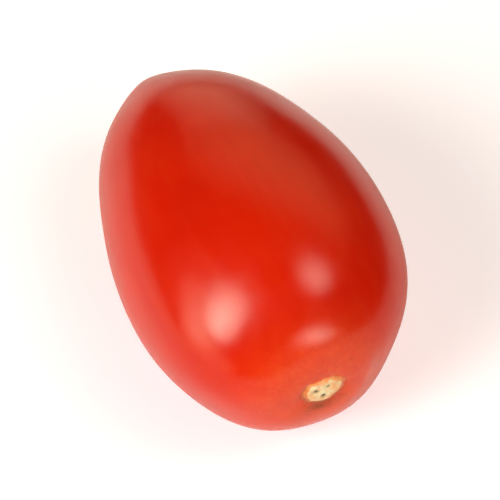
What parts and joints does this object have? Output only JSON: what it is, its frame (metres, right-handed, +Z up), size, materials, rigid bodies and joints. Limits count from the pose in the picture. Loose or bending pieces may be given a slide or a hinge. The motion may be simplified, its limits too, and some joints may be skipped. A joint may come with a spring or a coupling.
{
  "type": "plum tomato",
  "caption": "Whole ripe plum tomato with a corky stem scar and a narrow blossom end, lying on its side.",
  "frame": {"origin": "middle of the small flat spot that the fruit rests on", "axes": "+Z up; +X along the fruit towards the stem end, with -X at the blossom end; +Y across the fruit"},
  "size_m": [0.0736, 0.049, 0.0465],
  "materials": {
    "tomato_skin": "waxy ripe skin, glossy, with a cream corky scar at the stem end"
  },
  "bodies": {
    "root": {"tomato": "tomato_skin"}
  },
  "joints": []
}
